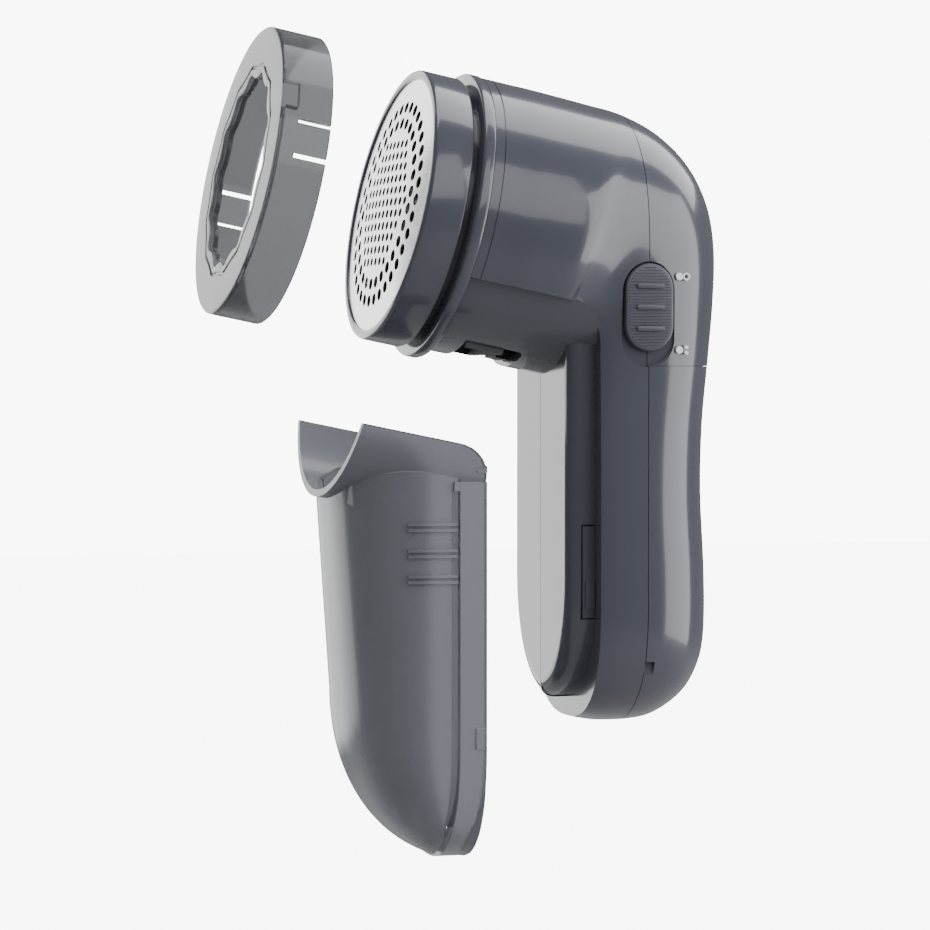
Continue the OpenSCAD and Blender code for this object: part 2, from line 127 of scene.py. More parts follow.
def to_object(bm, name):
    mesh = bpy.data.meshes.new(name)
    bm.to_mesh(mesh)
    bm.free()
    piece = bpy.data.objects.new(name, mesh)
    bpy.context.scene.collection.objects.link(piece)
    return piece


def keep_flats(piece):
    weights = piece.modifiers.new("flats", "WEIGHTED_NORMAL")
    weights.keep_sharp = True
    return piece


def soften(piece, width, segments=2, corner=32):
    bevel = piece.modifiers.new("edge", "BEVEL")
    bevel.width = width * MM
    bevel.segments = segments
    bevel.limit_method = "ANGLE"
    bevel.angle_limit = radians(corner)
    return keep_flats(piece)


def bake(piece):
    graph = bpy.context.evaluated_depsgraph_get()
    mesh = bpy.data.meshes.new_from_object(piece.evaluated_get(graph))
    piece.modifiers.clear()
    piece.data = mesh
    return piece


def finish_piece(piece, body, material, replaced=(), corner=32):
    piece.data.transform(Matrix.Scale(MM, 4))
    piece.data.shade_smooth()
    piece.data.set_sharp_from_angle(angle=radians(corner))
    piece.data.materials.clear()
    piece.data.materials.append(material)
    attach(piece, body)
    if replaced:
        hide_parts(*replaced)
    print(piece.name, len(piece.data.polygons), "faces")
    return piece


# %% [markdown]
# Booleans cut the shells as a mould's inserts would. Each cutter is a closed solid that is thrown
# away afterwards.


# %% Cutting one solid with another
def combine(piece, other, how, keep_other=False):
    cut = piece.modifiers.new("cut", "BOOLEAN")
    cut.object = other
    cut.operation = how
    cut.solver = "EXACT"
    bake(piece)
    if not keep_other:
        bpy.data.objects.remove(other)
    return piece


def round_edges(bm, edges, offset, segments=2):
    bmesh.ops.bevel(bm, geom=list(edges), offset=offset, segments=segments, profile=0.5,
                    affect="EDGES", material=-1)
    return bm


def tidy_mesh(piece, gap=0.02):
    bm = bmesh.new()
    bm.from_mesh(piece.data)
    bmesh.ops.remove_doubles(bm, verts=bm.verts, dist=gap)
    bmesh.ops.dissolve_degenerate(bm, dist=gap, edges=bm.edges)
    bm.to_mesh(piece.data)
    bm.free()
    return piece


# %% [markdown]
# Round parts are a half profile spun about the head axis, which is how a turner would cut them.


# %% Spinning a profile, and simple solids
def spun(profile, steps):
    bm = bmesh.new()
    verts = [bm.verts.new((r, 0, s)) for r, s in profile]
    edges = [bm.edges.new(pair) for pair in zip(verts, verts[1:] + verts[:1])]
    bmesh.ops.spin(bm, geom=verts + edges, cent=(0, 0, 0), axis=(0, 0, 1), angle=2 * pi,
                   steps=steps, use_merge=True)
    weld(bm)
    return bm


def prism(outline, low, high):
    bm = bmesh.new()
    face = bm.faces.new([bm.verts.new((x, y, low)) for x, y in outline])
    grown = bmesh.ops.extrude_face_region(bm, geom=[face])
    moved = [v for v in grown["geom"] if isinstance(v, bmesh.types.BMVert)]
    bmesh.ops.translate(bm, verts=moved, vec=(0, 0, high - low))
    bmesh.ops.recalc_face_normals(bm, faces=bm.faces)
    return bm


def block(low, high):
    bm = bmesh.new()
    size = Vector(high) - Vector(low)
    middle = (Vector(high) + Vector(low)) / 2
    bmesh.ops.create_cube(bm, size=1, matrix=Matrix.Translation(middle) @ Matrix.Diagonal((*size, 1)))
    return bm


def rod(radius, low, high, segments=96):
    bm = bmesh.new()
    place = Matrix.Translation((0, 0, (low + high) / 2))
    bmesh.ops.create_cone(bm, cap_ends=True, segments=segments, radius1=radius, radius2=radius,
                          depth=high - low, matrix=place)
    return bm


def moved(bm, matrix):
    bmesh.ops.transform(bm, matrix=matrix, verts=bm.verts)
    return bm


def in_head(bm):
    return moved(bm, HEAD)


def joined(parts, name):
    bm = bmesh.new()
    for part in parts:
        mesh = bpy.data.meshes.new("part")
        part.to_mesh(mesh)
        part.free()
        bm.from_mesh(mesh)
        bpy.data.meshes.remove(mesh)
    return to_object(bm, name)


# %% [markdown]
# ## Finishes
# Every finish starts from what the moulder or platemaker leaves: a faint ripple in a glossy
# moulding, a polish that is a little hazier in places, a grain in rolled steel. The ripple and the
# haze are one shared node group, so that each plastic only sets how strong they are.


# %% A node group for moulding ripple and haze
def new_group(name, outputs):
    group = bpy.data.node_groups.new(name, "ShaderNodeTree")
    for title, kind in outputs:
        group.interface.new_socket(title, in_out="OUTPUT", socket_type=kind)
    return group


def ripple_group():
    group = new_group("moulding ripple", [("Height", "NodeSocketFloat"), ("Haze", "NodeSocketFloat")])
    size = group.interface.new_socket("Size", in_out="INPUT", socket_type="NodeSocketFloat")
    size.default_value = 900
    tree = group.nodes
    inside = tree.new("NodeGroupInput")
    outside = tree.new("NodeGroupOutput")
    where = tree.new("ShaderNodeTexCoord")
    fine = tree.new("ShaderNodeTexNoise")
    fine.inputs["Detail"].default_value = 3
    broad = tree.new("ShaderNodeTexNoise")
    broad.inputs["Scale"].default_value = 45
    broad.inputs["Detail"].default_value = 2
    link = group.links.new
    link(where.outputs["Object"], fine.inputs["Vector"])
    link(where.outputs["Object"], broad.inputs["Vector"])
    link(inside.outputs["Size"], fine.inputs["Scale"])
    link(fine.outputs["Fac"], outside.inputs["Height"])
    link(broad.outputs["Fac"], outside.inputs["Haze"])
    return group


RIPPLE = ripple_group()
print("shared group:", RIPPLE.name)


# %% [markdown]
# A moulded plastic has one colour, but its skin is never quite even. Mixing two close tones and
# varying the roughness by the same haze keeps a large glossy shell from looking computed.

# %% A moulded plastic from its colour, polish and ripple
def plastic(name, colour, rough, ripple=0.02, size=900.0, vary=0.06, **extra):
    material = bpy.data.materials.new(name)
    material.use_nodes = True
    tree = material.node_tree
    shader = tree.nodes["Principled BSDF"]
    group = tree.nodes.new("ShaderNodeGroup")
    group.node_tree = RIPPLE
    group.inputs["Size"].default_value = size
    tone = tree.nodes.new("ShaderNodeMix")
    tone.data_type = "RGBA"
    tone.inputs["A"].default_value = (*[c * (1 - vary) for c in colour], 1)
    tone.inputs["B"].default_value = (*[min(1, c * (1 + vary)) for c in colour], 1)
    polish = tree.nodes.new("ShaderNodeMapRange")
    polish.inputs["To Min"].default_value = rough * 0.85
    polish.inputs["To Max"].default_value = rough * 1.2
    bump = tree.nodes.new("ShaderNodeBump")
    bump.inputs["Strength"].default_value = ripple
    bump.inputs["Distance"].default_value = 0.0002
    link = tree.links.new
    link(group.outputs["Haze"], tone.inputs["Factor"])
    link(group.outputs["Haze"], polish.inputs["Value"])
    link(group.outputs["Height"], bump.inputs["Height"])
    link(tone.outputs["Result"], shader.inputs["Base Color"])
    link(polish.outputs["Result"], shader.inputs["Roughness"])
    link(bump.outputs["Normal"], shader.inputs["Normal"])
    for socket, value in extra.items():
        shader.inputs[socket.replace("_", " ")].default_value = value
    return material


# %% [markdown]
# Rolled sheet and drawn wire have a direction. A noise stretched along one axis gives the grain,
# and the same noise drives tone, roughness and bump so that the streaks agree.

# %% A metal with a grain along one axis
def metal(name, colour, rough, grain=(60, 60, 900), strength=0.05):
    material = bpy.data.materials.new(name)
    material.use_nodes = True
    tree = material.node_tree
    shader = tree.nodes["Principled BSDF"]
    shader.inputs["Metallic"].default_value = 1
    where = tree.nodes.new("ShaderNodeTexCoord")
    stretch = tree.nodes.new("ShaderNodeMapping")
    stretch.inputs["Scale"].default_value = grain
    noise = tree.nodes.new("ShaderNodeTexNoise")
    noise.inputs["Scale"].default_value = 6
    noise.inputs["Detail"].default_value = 4
    tone = tree.nodes.new("ShaderNodeMix")
    tone.data_type = "RGBA"
    tone.inputs["A"].default_value = (*[c * 0.9 for c in colour], 1)
    tone.inputs["B"].default_value = (*colour, 1)
    polish = tree.nodes.new("ShaderNodeMapRange")
    polish.inputs["To Min"].default_value = rough * 0.8
    polish.inputs["To Max"].default_value = rough * 1.3
    bump = tree.nodes.new("ShaderNodeBump")
    bump.inputs["Strength"].default_value = strength
    bump.inputs["Distance"].default_value = 0.0001
    link = tree.links.new
    link(where.outputs["Object"], stretch.inputs["Vector"])
    link(stretch.outputs["Vector"], noise.inputs["Vector"])
    link(noise.outputs["Fac"], tone.inputs["Factor"])
    link(noise.outputs["Fac"], polish.inputs["Value"])
    link(noise.outputs["Fac"], bump.inputs["Height"])
    link(tone.outputs["Result"], shader.inputs["Base Color"])
    link(polish.outputs["Result"], shader.inputs["Roughness"])
    link(bump.outputs["Normal"], shader.inputs["Normal"])
    return material


# %% [markdown]
# Each finish is one call. The two clear parts share a recipe, but the container is the duller
# one, so it has less transmission and a rougher skin than the guard.

# %% The finishes of this shaver
body_gloss = plastic("blue-grey gloss", (0.056, 0.06, 0.078), 0.19, ripple=0.008, Coat_Weight=0.5,
                     Coat_Roughness=0.06)
knob_satin = plastic("blue-grey satin", (0.066, 0.071, 0.09), 0.36, ripple=0.03)
inner_grey = plastic("inner grey", (0.035, 0.038, 0.045), 0.5, ripple=0.06)
black_satin = plastic("black satin", (0.012, 0.012, 0.014), 0.42, ripple=0.06)
natural_acetal = plastic("natural acetal", (0.68, 0.67, 0.62), 0.4, ripple=0.05)
pad_print = plastic("white pad print", (0.86, 0.87, 0.9), 0.45, ripple=0.04)
cell_sleeve = plastic("cell sleeve", (0.05, 0.12, 0.09), 0.25, ripple=0.02)
red_lead = plastic("red lead", (0.5, 0.03, 0.02), 0.4)
black_lead = plastic("black lead", (0.01, 0.01, 0.01), 0.4)
smoky = plastic("smoky clear", (0.15, 0.152, 0.162), 0.1, ripple=0.0, vary=0.03, Transmission_Weight=0.72,
                IOR=1.3)
smoky_deep = plastic("smoky clear, deep drawn", (0.2, 0.208, 0.235), 0.22, ripple=0.0, vary=0.03,
                     Transmission_Weight=0.5, IOR=1.4)
bright_foil = metal("bright foil", (0.93, 0.93, 0.94), 0.22, grain=(200, 200, 200))
plain_steel = metal("plain steel", (0.6, 0.61, 0.63), 0.3)
nickel = metal("nickel", (0.78, 0.76, 0.71), 0.2)
brass = metal("brass", (0.72, 0.53, 0.24), 0.28)

# %% [markdown]
# ## The body form
# The two shells, the battery cover and the container were styled as one closed form and then
# split. A loft does the same: a row of stations down the spine, each a squared-off ellipse, with
# every station a circle that is stretched to its place and bridged to the next one. The stations
# are listed and a smooth curve through them gives the ones between.

# %% Stations from the tube to the foot of the handle
ROUND_Z = -88.0
ROUND_LEN = 26.0
FOOT_Z = -113.9


def half_w(z):
    if z > ROUND_Z:
        return HANDLE_W
    return HANDLE_W * max(0.0, 1 - min(1.0, (ROUND_Z - z) / ROUND_LEN) ** 2.3) ** (1 / 2.3)


def tube_station(s):
    low, high = s * AXIS - TUBE_R * UP, s * AXIS + TUBE_R * UP
    return (low.y, low.z, high.y, high.z, TUBE_R, 2.0)


def level(y0, y1, z):
    return (y0, z, y1, z, half_w(z), 2.5)


TUBE_START = 13.2
SPINE = [
    tube_station(TUBE_START), tube_station(20), tube_station(26),
    (26.5, -37.6, 44.5, 22.7, 30.4, 2.0), (27.5, -37.8, 52.5, 20.7, 28.2, 2.0),
    (28.3, -38.2, 60.8, 16.5, 26.3, 2.05), (28.5, -39, 67.8, 9.8, 25.3, 2.1),
    (28.5, -40.5, 72, 1.2, 24.8, 2.2), (28.5, -43, 73.4, -8.5, 24.6, 2.3),
    (28.5, -47, 72.9, -20, HANDLE_W, 2.4), (28.5, -53, 71.5, -33, HANDLE_W, 2.5),
    (28.5, -62, 70.1, -47, HANDLE_W, 2.5), (28.5, -74, 69.7, -62, HANDLE_W, 2.5),
    (28.5, -83, 70.5, -78, HANDLE_W, 2.5), level(28.5, 70.7, -90), level(28.7, 70.2, -98),
    level(29.5, 68.5, -103.6), level(31, 66.2, -107.5), level(35, 62.6, -110.8),
    level(41, 59, -112.9), level(46, 55.5, FOOT_Z),
]
print("hand-set stations:", len(SPINE))


# %% [markdown]
# The stations could be joined by straight stretches, but the elbow would show flats. A cubic that
# passes through every listed row keeps them all and rounds the steps between.

# %% A smooth curve through rows of numbers
def between(p0, p1, p2, p3, t):
    return tuple(0.5 * (2 * b + (c - a) * t + (2 * a - 5 * b + 4 * c - d) * t * t
                        + (3 * b - a - 3 * c + d) * t ** 3) for a, b, c, d in zip(p0, p1, p2, p3))


def smooth_rows(rows, steps):
    padded = [rows[0], *rows, rows[-1]]
    out = []
    for i in range(len(rows) - 1):
        out += [between(*padded[i:i + 4], k / steps) for k in range(steps)]
    return [*out, rows[-1]]


# %% [markdown]
# Every ring starts as a circle with the same number of points, so the rings can be bridged
# without twisting, and the two ends are closed to make a solid that booleans accept.

# %% Lofting: one stretched circle per station, bridged to the next
def add_ring(bm, count, shape):
    made = bmesh.ops.create_circle(bm, segments=count, radius=1)["verts"]
    for v in made:
        v.co = shape(atan2(v.co.y, v.co.x))
    return list({e for v in made for e in v.link_edges})


def signed_power(value, power):
    return abs(value) ** power * (1 if value >= 0 else -1)


def station_shape(row, inset):
    y0, z0, y1, z1, width, square = row
    low, high = Vector((0, y0, z0)), Vector((0, y1, z1))
    arm = high - low
    reach, wide, power = arm.length / 2 - inset, max(width - inset, 0.5), 2 / square

    def shape(angle):
        along = signed_power(cos(angle), power) * reach
        across = signed_power(sin(angle), power) * wide
        return (low + high) / 2 + arm.normalized() * along + Vector((across, 0, 0))
    return shape


def loft(shapes, count=120):
    bm = bmesh.new()
    rings = [add_ring(bm, count, shape) for shape in shapes]
    for one, two in zip(rings, rings[1:]):
        bmesh.ops.bridge_loops(bm, edges=one + two)
    for end in (rings[0], rings[-1]):
        bmesh.ops.holes_fill(bm, edges=end, sides=0)
    weld(bm, 0.001)
    return bm


def body_form(inset=0.0, count=120):
    rows = SPINE if inset == 0 else [tube_station(TUBE_START - 2), *SPINE[1:-2]]
    return loft([station_shape(row, inset) for row in smooth_rows(rows, 4)], count)


# %% [markdown]
# ## Cutters that the shells share
# The container closes on a step cut into the front of the form. Its profile is a corner between
# the seat line under the tube and the rim plane down the handle, rounded like the real one.

# %% The container's zone as a prism across the body
SEAT_DROP = 14.2
CORNER_R = 9.0
corner_z = -(SEAT_DROP + RIM_Y * sin(TILT)) / cos(TILT)


def zone_prism(gap=0.0, width=90.0):
    """The space in front of the handle, as a prism across X whose rear top corner is rounded."""
    rim = RIM_Y - gap
    top = corner_z - gap / cos(TILT)
    centre_y = rim - CORNER_R
    centre_z = top + (CORNER_R * sin(TILT) - CORNER_R) / cos(TILT)
    turns = [radians(t) for t in (0, 12, 24, 36, 48, 60, 72, 78.5)]
    arc = [(centre_y + CORNER_R * cos(a), centre_z + CORNER_R * sin(a)) for a in turns]
    far_y = RIM_Y - 60
    far_z = arc[-1][1] + (arc[-1][0] - far_y) * sin(TILT) / cos(TILT)
    bm = prism([(rim, -160.0), *arc, (far_y, far_z), (far_y, -160.0)], -width / 2, width / 2)
    swap = Matrix(((0, 0, 1, 0), (1, 0, 0, 0), (0, 1, 0, 0), (0, 0, 0, 1)))
    return moved(bm, swap)


def zone_after(start, gap=0.0):
    """The same zone, but only behind a station of the head axis."""
    piece = to_object(zone_prism(gap), "zone")
    keep = to_object(in_head(block((-70, -90, start), (70, 190, 190))), "keep")
    return combine(piece, keep, "INTERSECT")


# %% [markdown]
# The boss, the rim band and the step channel all follow the handle's outline, each with a trim
# of its own. One function gives all of these outlines, and a prism gives each its depth.

# %% The outline of the handle's front, trimmed all round
def front_outline(trim, top_z, steps=40):
    low = FOOT_Z + trim
    side = []
    for i in range(steps + 1):
        t = sin(pi / 2 * i / steps)
        z = top_z + (low - top_z) * t
        side.append((max(half_w(z - trim) - trim, 0.4), z))
    return side + [(-x, z) for x, z in reversed(side)]


def front_slab(y0, y1, trim, top_z):
    bm = prism(front_outline(trim, top_z), -y1, -y0)
    return moved(bm, Matrix.Rotation(pi / 2, 4, "X"))


# %% [markdown]
# ## The front shell
# The tube, the elbow's front half and the grip's front are one moulding. It is cut from the body
# form: the container's step, the seat that the container hooks round, the boss that plugs into
# it, the lint outlet, the switch recess, and last the hollow inside.

# %% Boss and seat
BOSS_Y = 35.0
BOSS_TRIM = 5.2
BOSS_ROUND = [(0, 3.0), (0.12, 2.1), (0.5, 1.2), (1.2, 0.5), (2.1, 0.12), (3.0, 0),
              (RIM_Y + 0.6 - BOSS_Y, 0)]


def boss_solid():
    """Outlines of the handle's front, each trimmed a little less than the one before it."""
    bm = bmesh.new()
    rings = []
    for y, trim in BOSS_ROUND:
        verts = [bm.verts.new((x, BOSS_Y + y, z)) for x, z in front_outline(BOSS_TRIM + trim, -29)]
        rings.append([bm.edges.new(pair) for pair in zip(verts, verts[1:] + verts[:1])])
    for one, two in zip(rings, rings[1:]):
        bmesh.ops.bridge_loops(bm, edges=one + two)
    for end in (rings[0], rings[-1]):
        bmesh.ops.holes_fill(bm, edges=end, sides=0)
    weld(bm, 0.001)
    return bm


def seat_solid():
    seat = to_object(in_head(rod(SEAT_R, TUBE_START + 0.1, 56, 160)), "seat")
    zone = zone_after(TUBE_START - 1, -0.4)
    return combine(seat, zone, "INTERSECT")


# %% [markdown]
# The slide switch sits in a long oval recess across the seam. The same oval outline, made smaller,
# serves the knob and its bars later.

# %% The switch recess and its stadium outline
SWITCH_Z = -22.6
SWITCH_SHIFT = -1.5


def stadium(width, height, steps=20):
    run, r = (height - width) / 2, width / 2
    top = [(r * cos(a), run + r * sin(a)) for a in [pi * i / steps for i in range(steps + 1)]]
    return top + [(-x, -y) for x, y in top]


def side_prism(outline, z, x0, x1):
    """A prism standing out of the switch side, with its outline in (y, z) about the seam."""
    bm = prism(outline, x0, x1)
    to_side = Matrix(((0, 0, 1, 0), (1, 0, 0, SEAM_Y), (0, 1, 0, z), (0, 0, 0, 1)))
    return moved(bm, to_side)


def recess_cutter():
    return to_object(side_prism(stadium(12.2, 22.8), SWITCH_Z + SWITCH_SHIFT, HANDLE_W - 1.2, 40), "recess")


# %% [markdown]
# The order matters: first the container's step is taken away, then the half behind the seam, and
# only then are the seat and the boss added, so that neither cut touches them.

# %% Cut the front shell
def half_space(y0, y1, z0=-200.0, z1=100.0):
    return to_object(block((-90, y0, z0), (90, y1, z1)), "half")


front = to_object(body_form(), "front_casing")
combine(front, zone_after(TUBE_START - 1), "DIFFERENCE")
combine(front, half_space(-60, SEAM_Y - 0.08), "INTERSECT")
combine(front, seat_solid(), "UNION")
boss = to_object(boss_solid(), "boss")
combine(boss, to_object(in_head(rod(SEAT_R - 1, 0, 60, 120)), "bite"), "DIFFERENCE")
combine(front, boss, "UNION")
split_line = block((-0.09, BOSS_Y - 1, -120), (0.09, BOSS_Y + 0.12, -33))
combine(front, to_object(split_line, "split_line"), "DIFFERENCE")
print("front shell solid", len(front.data.polygons))

# %% [markdown]
# The hollow is the same form again, one wall smaller, with a bore for the motor and room behind
# the boss. It is kept for the rear shell and the cover, so that all three walls line up.

# %% Hollow it out
OUTLET_HALF = 12.5
WALL = 2.2
BORE_R = 26.9
BORE_END = 42.2
hollow = to_object(body_form(WALL, 72), "hollow")
combine(hollow, zone_after(TUBE_START - 3, -WALL), "DIFFERENCE")
combine(hollow, to_object(in_head(rod(BORE_R, TUBE_START - 2, BORE_END, 120)), "bore"), "UNION")
boss_hollow = front_slab(BOSS_Y + WALL, RIM_Y + WALL + 1, BOSS_TRIM + 3.6, -46)
combine(hollow, to_object(boss_hollow, "boss_hollow"), "UNION")
combine(front, hollow, "DIFFERENCE", keep_other=True)
combine(front, recess_cutter(), "DIFFERENCE")
outlet = in_head(block((-OUTLET_HALF, 10, 19.5), (OUTLET_HALF, 40, 33)))
round_edges(outlet, outlet.edges, 1.6, 3)
combine(front, to_object(outlet, "outlet"), "DIFFERENCE")
for side in (-1, 1):
    x0, x1 = sorted((side * 17.2, side * 19.9))
    pocket = block((x0, BOSS_Y + 2.9, -90.3), (x1, BOSS_Y + 6.6, -69.7))
    combine(front, to_object(pocket, "latch_pocket"), "DIFFERENCE")
GROOVE_R = TUBE_R - 0.22
groove_profile = [(GROOVE_R, 15.2), (TUBE_R + 1, 15.2), (TUBE_R + 1, 15.45), (GROOVE_R, 15.45)]
groove = to_object(in_head(spun(groove_profile, 160)), "groove")
combine(groove, to_object(in_head(block((-40, -40, 14), (40, SEAT_DROP, 17))), "upper"), "INTERSECT")
combine(front, groove, "DIFFERENCE")
tidy_mesh(front)
soften(front, 0.2)
print("front shell", len(front.data.polygons))

# %% [markdown]
# ## Rear shell and battery cover
# Both come from the same form behind the seam, one above and one below the cover line, so their
# surfaces run on into each other with only a fine shadow gap between.

# %% Rear shell and battery cover
GAP = 0.08


def rear_part(name, z0, z1):
    part = to_object(body_form(), name)
    return combine(part, half_space(SEAM_Y + GAP, 90, z0, z1), "INTERSECT")


def lip(inset, z0):
    part = to_object(body_form(inset), "lip")
    return combine(part, half_space(SEAM_Y + 1, 90, z0, -33), "INTERSECT")


rear = rear_part("rear_casing", COVER_Z + 0.03, 60)
combine(rear, lip(1.1, COVER_Z - 1.1), "UNION")
combine(rear, hollow, "DIFFERENCE", keep_other=True)
combine(rear, recess_cutter(), "DIFFERENCE")
door = rear_part("battery_door", -200, COVER_Z - 0.03)
combine(door, lip(1.0, COVER_Z - 1.2), "DIFFERENCE")
combine(door, hollow, "DIFFERENCE", keep_other=True)
nick = to_object(block((HANDLE_W - 3.2, SEAM_Y - 0.5, -102.5), (HANDLE_W + 2, SEAM_Y + 2.2, -99.6)), "nick")
combine(door, nick, "DIFFERENCE")
bpy.data.objects.remove(hollow)
for part in (rear, door):
    tidy_mesh(part)
    soften(part, 0.2)
print("rear parts", len(rear.data.polygons), len(door.data.polygons))

# %% [markdown]
# All three shells come from one grade of glossy plastic, so they take the same finish and each
# stands in for its own CAD node.

# %% Dress the three shells
finish_piece(front, "housing", body_gloss, ["front_shell"])
finish_piece(rear, "housing", body_gloss, ["rear_shell"])
finish_piece(door, "battery_door", body_gloss, ["battery_cover"])

# %% [markdown]
# ## Foil ring and collar
# Both are turned shapes. The ring's front is a flat polished annulus with a small round on each
# edge; behind it the neck shows as a dark groove before the collar.

# %% Foil ring
ring_profile = [(27.08, 0.95), (28.0, 0.95), (28.0, 0.25), (28.2, 0.05), (28.5, 0), (29.3, 0), (29.75, 0.2),
                (29.95, 0.6), (30, 1.0), (30, 8.3), (29.85, 8.65), (29.6, 8.8), (27.08, 8.8)]
foil_ring = to_object(in_head(spun(ring_profile, 160)), "foil_rim")
finish_piece(foil_ring, "foil_head", body_gloss, ["foil_ring"], corner=40)

# %% [markdown]
# The foil is a thin steel sheet, etched with holes and pressed into a shallow dome. Two rings of
# large holes let long fibres in and a honeycomb of smaller ones shaves the pile. The sheet is
# turned flat, pierced, and then domed by moving each point forward.

# %% Domed foil
FOIL_R = 27.95
DOME = 1.7
LARGE_HOLE = 1.3
SMALL_HOLE = 0.95
COMB_PITCH = 3
COMB_R = 15.1


def hole_ring(radius, count, start):
    angles = [2 * pi * (i + start) / count for i in range(count)]
    return [(radius * cos(a), radius * sin(a), LARGE_HOLE) for a in angles]


def foil_holes():
    spots = hole_ring(21.6, 36, 0) + hole_ring(17.9, 30, 0.5)
    for i in range(-8, 9):
        for j in range(-8, 9):
            x, y = COMB_PITCH * (i + j / 2), COMB_PITCH * j * sin(pi / 3)
            if (x * x + y * y) ** 0.5 < COMB_R:
                spots.append((x, y, SMALL_HOLE))
    return spots


ring_radii = [0.2, 3, 6, 9, 12, 15, 18, 21, 24, 26, 27.4, FOIL_R]
sheet_profile = [(r, 0) for r in ring_radii] + [(r, 0.4) for r in reversed(ring_radii)]
sheet = to_object(spun(sheet_profile, 120), "foil_sheet")
pins = [moved(rod(r, -1, 2, 20), Matrix.Translation((x, y, 0))) for x, y, r in foil_holes()]
combine(sheet, joined(pins, "pins"), "DIFFERENCE")
for v in sheet.data.vertices:
    v.co.z += 0.5 - DOME * (1 - (v.co.x ** 2 + v.co.y ** 2) / FOIL_R ** 2)
sheet.data.transform(HEAD)
finish_piece(sheet, "foil_head", bright_foil, ["shaving_foil"])

# %% [markdown]
# The collar is turned too. Its narrow neck is the dark groove behind the ring, and its light edge
# is a small round at the largest radius.

# %% Collar and neck
collar_profile = [(25.6, 3.2), (26.6, 3.2), (27, 3.6), (27, 10.5), (31.0, 10.5), (31.35, 10.62),
                  (31.55, 10.9), (31.6, 11.2), (31.6, 12.7), (31.45, 13.0), (31.3, 13.2),
                  (26.6, 13.2), (26.6, 18), (25.6, 18)]
collar = to_object(in_head(spun(collar_profile, 160)), "neck_collar")
finish_piece(collar, "housing", body_gloss, ["head_collar"], corner=40)

# %% [markdown]
# ## The slide switch
# The knob is a long oval button. Fine ribs across it give grip, and three raised bars show the
# thumb where to push. Ribs and bars are real geometry so that they catch the light.

# %% Switch knob
KNOB_BASE = HANDLE_W - 0.7
KNOB_TOP = HANDLE_W + 1.2


def knob_mesh():
    parts = []
    base = side_prism(stadium(11, 19), SWITCH_Z, KNOB_BASE, KNOB_TOP - 0.35)
    top = [f for f in base.faces if f.normal.x > 0.9]
    parts.append(round_edges(base, {e for f in top for e in f.edges}, 0.5, 3))
    pitch = 0.62
    for i in range(-14, 15):
        z = i * pitch
        reach = 4.75 if abs(z) < 4 else (max(0.1, 4.95 ** 2 - (abs(z) - 4) ** 2)) ** 0.5 - 0.3
        rib = block((KNOB_TOP - 0.5, SEAM_Y - reach, SWITCH_Z + z - 0.16),
                    (KNOB_TOP - 0.17, SEAM_Y + reach, SWITCH_Z + z + 0.16))
        long_edges = [e for e in rib.edges if abs((e.verts[0].co - e.verts[1].co).y) > 0.1]
        parts.append(round_edges(rib, long_edges, 0.08, 1))
    for i in (-1, 0, 1):
        outline = [(y, x) for x, y in stadium(1.15, 6.4, 8)]
        bar = side_prism(outline, SWITCH_Z + i * 4.6, KNOB_TOP - 0.4, KNOB_TOP + 0.28)
        bmesh.ops.recalc_face_normals(bar, faces=bar.faces)
        top = [f for f in bar.faces if f.normal.x > 0.9]
        parts.append(round_edges(bar, {e for f in top for e in f.edges}, 0.25))
    return joined(parts, "slide_knob")


finish_piece(knob_mesh(), "switch", knob_satin, ["switch_knob"])

# %% [markdown]
# ## Height guard
# A smoky clear ring keeps the foil a few millimetres off delicate cloth. Its front plate has a
# scalloped opening, a fine bead follows the scallops, and slots from the back edge free two
# spring fingers that snap over the ring.

# %% Guard plate with a scalloped opening
GUARD_BACK = 4.2 + 30.3
GUARD_LEN = 11.2
LOBES = 14


def scallop(radius, depth, angle):
    return radius + depth * (0.5 + 0.5 * cos(LOBES * angle)) ** 1.6


def guard_shell():
    inner = 30.35
    profile = [(24.6, 0), (30.9, 0), (31.3, 0.12), (31.55, 0.4), (31.6, 0.8), (31.6, GUARD_LEN - 0.3),
               (31.3, GUARD_LEN), (30.6, GUARD_LEN), (inner, GUARD_LEN - 0.4), (inner, 1.2), (24.6, 1.2)]
    return to_object(spun(profile, 168), "guard_cup")


def scallop_plate():
    """The inner part of the plate: rings round the scallops, bridged across its section."""
    rows = [(24.7, 0, 0), (23.2, 0, 0), (22.9, 0.35, 0), (22.5, 0.35, 0), (22.2, 0, 0),
            (20.6, 0, 1), (20.35, 0.15, 1), (20.25, 0.5, 1), (20.3, 2.0, 1), (20.6, 2.2, 1),
            (21.2, 2.2, 1), (21.4, 2.0, 1), (21.5, 1.2, 1), (24.7, 1.2, 0)]
    bm = bmesh.new()
    rings = []
    for radius, s, wavy in rows:
        follow = 1.0 if wavy else (0.55 if radius < 23.5 else 0.0)

        def shape(angle, radius=radius, s=s, follow=follow):
            r = scallop(radius, 1.3 * follow, angle)
            return Vector((r * cos(angle), r * sin(angle), s))
        rings.append(add_ring(bm, 336, shape))
    for one, two in zip(rings, [*rings[1:], rings[0]]):
        bmesh.ops.bridge_loops(bm, edges=one + two)
    weld(bm, 0.001)
    return to_object(bm, "scallops")


guard = combine(guard_shell(), scallop_plate(), "UNION")
print("guard plate", len(guard.data.polygons))
